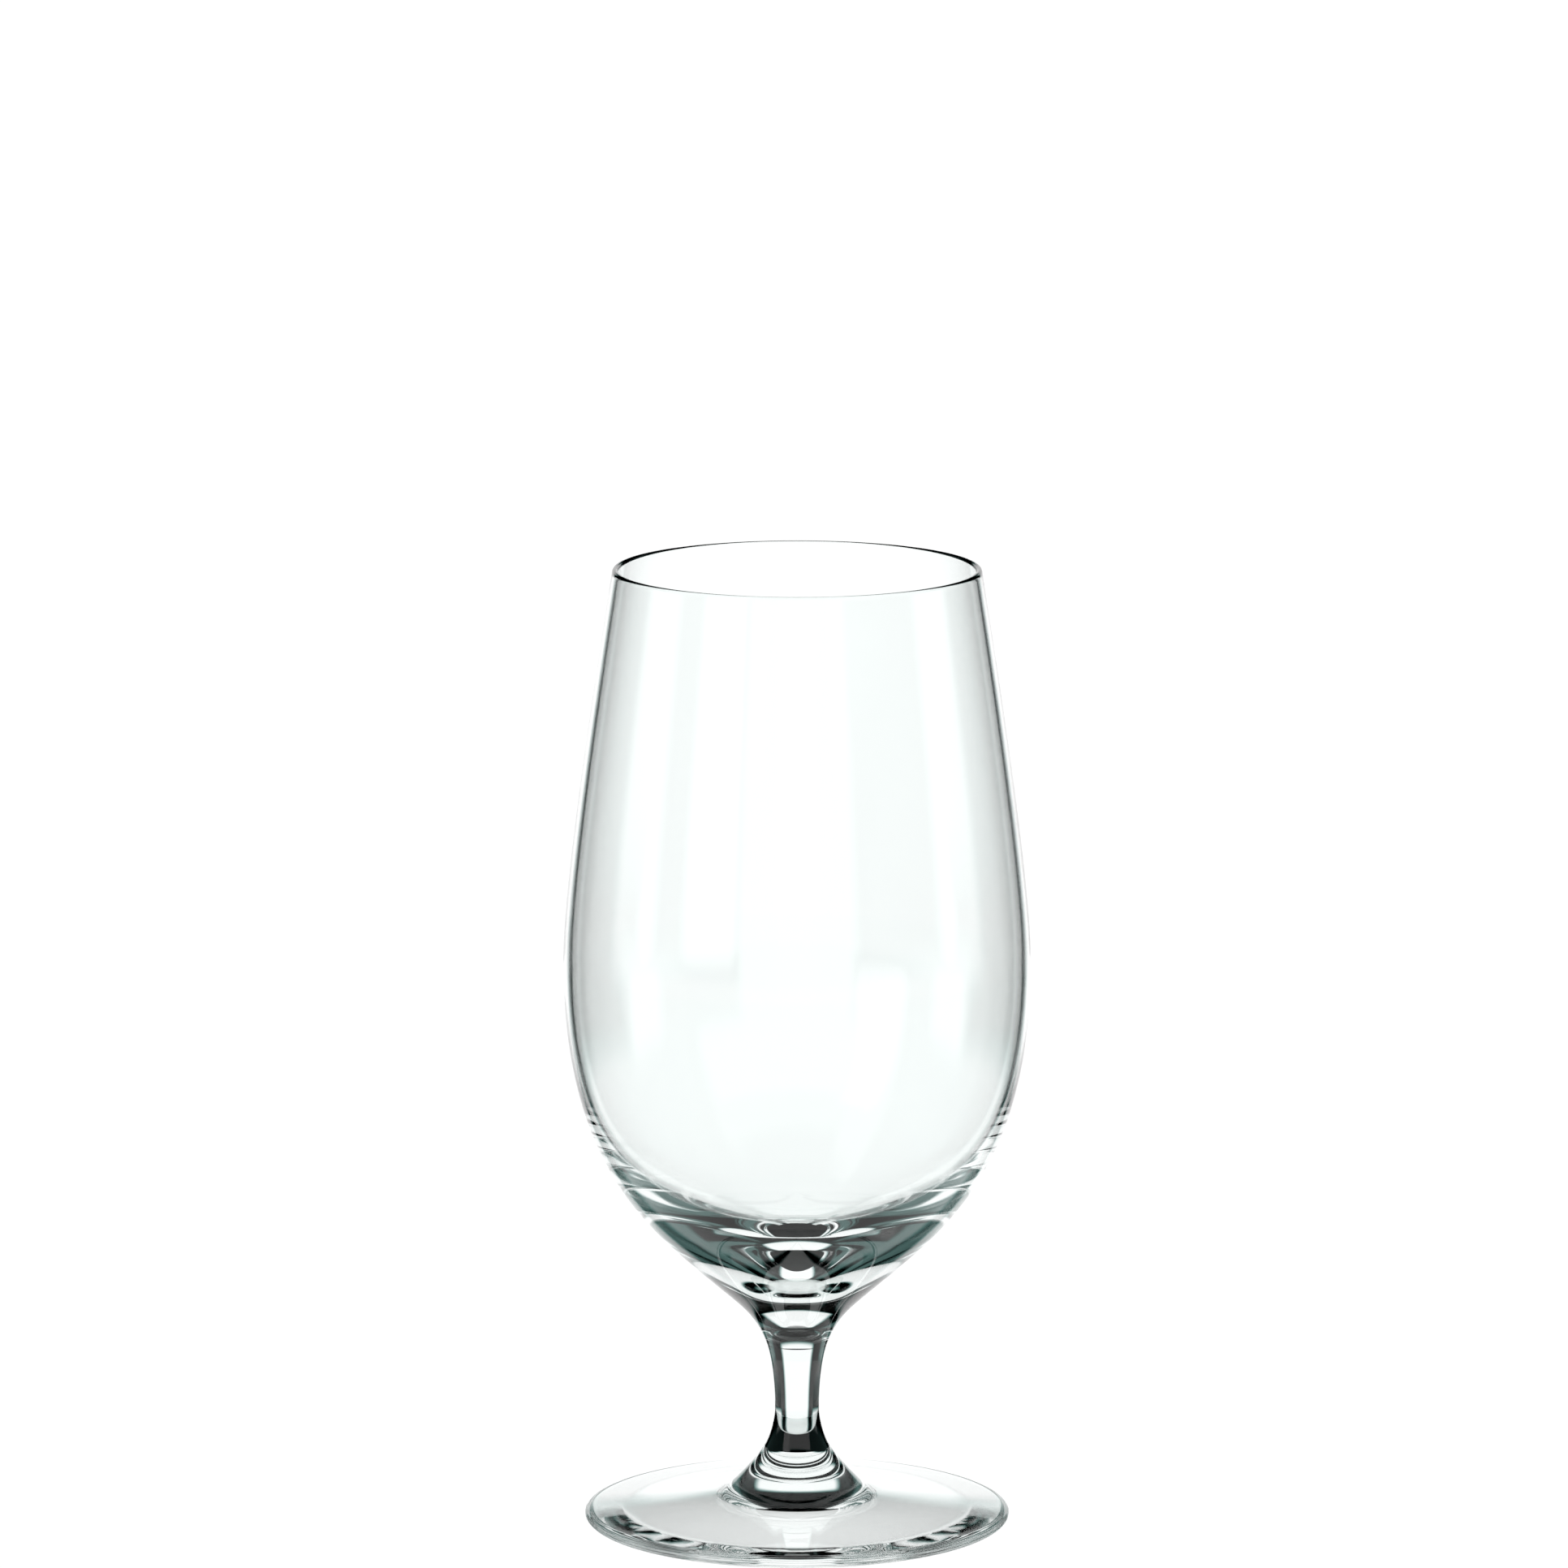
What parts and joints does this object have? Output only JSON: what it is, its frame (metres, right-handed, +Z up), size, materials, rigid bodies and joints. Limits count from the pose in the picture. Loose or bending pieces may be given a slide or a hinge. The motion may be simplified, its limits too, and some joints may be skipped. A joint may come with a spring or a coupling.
{
  "type": "tulip beer glass",
  "caption": "Clear tulip beer glass: a tall thin-walled bowl with a thick base on a short waisted stem and a round flared foot, for serving beer.",
  "frame": {"origin": "on the table plane, at the middle of the foot", "axes": "+Z up along the glass's axis of turning; X and Y are alike, with the pictured side towards -Y"},
  "size_m": [0.08, 0.08, 0.166],
  "materials": {
    "clear_glass": "colourless fire-polished soda-lime glass with a faint green cast where it is thick"
  },
  "bodies": {
    "root": {"bowl": "clear_glass", "stem": "clear_glass", "foot": "clear_glass"}
  },
  "joints": []
}
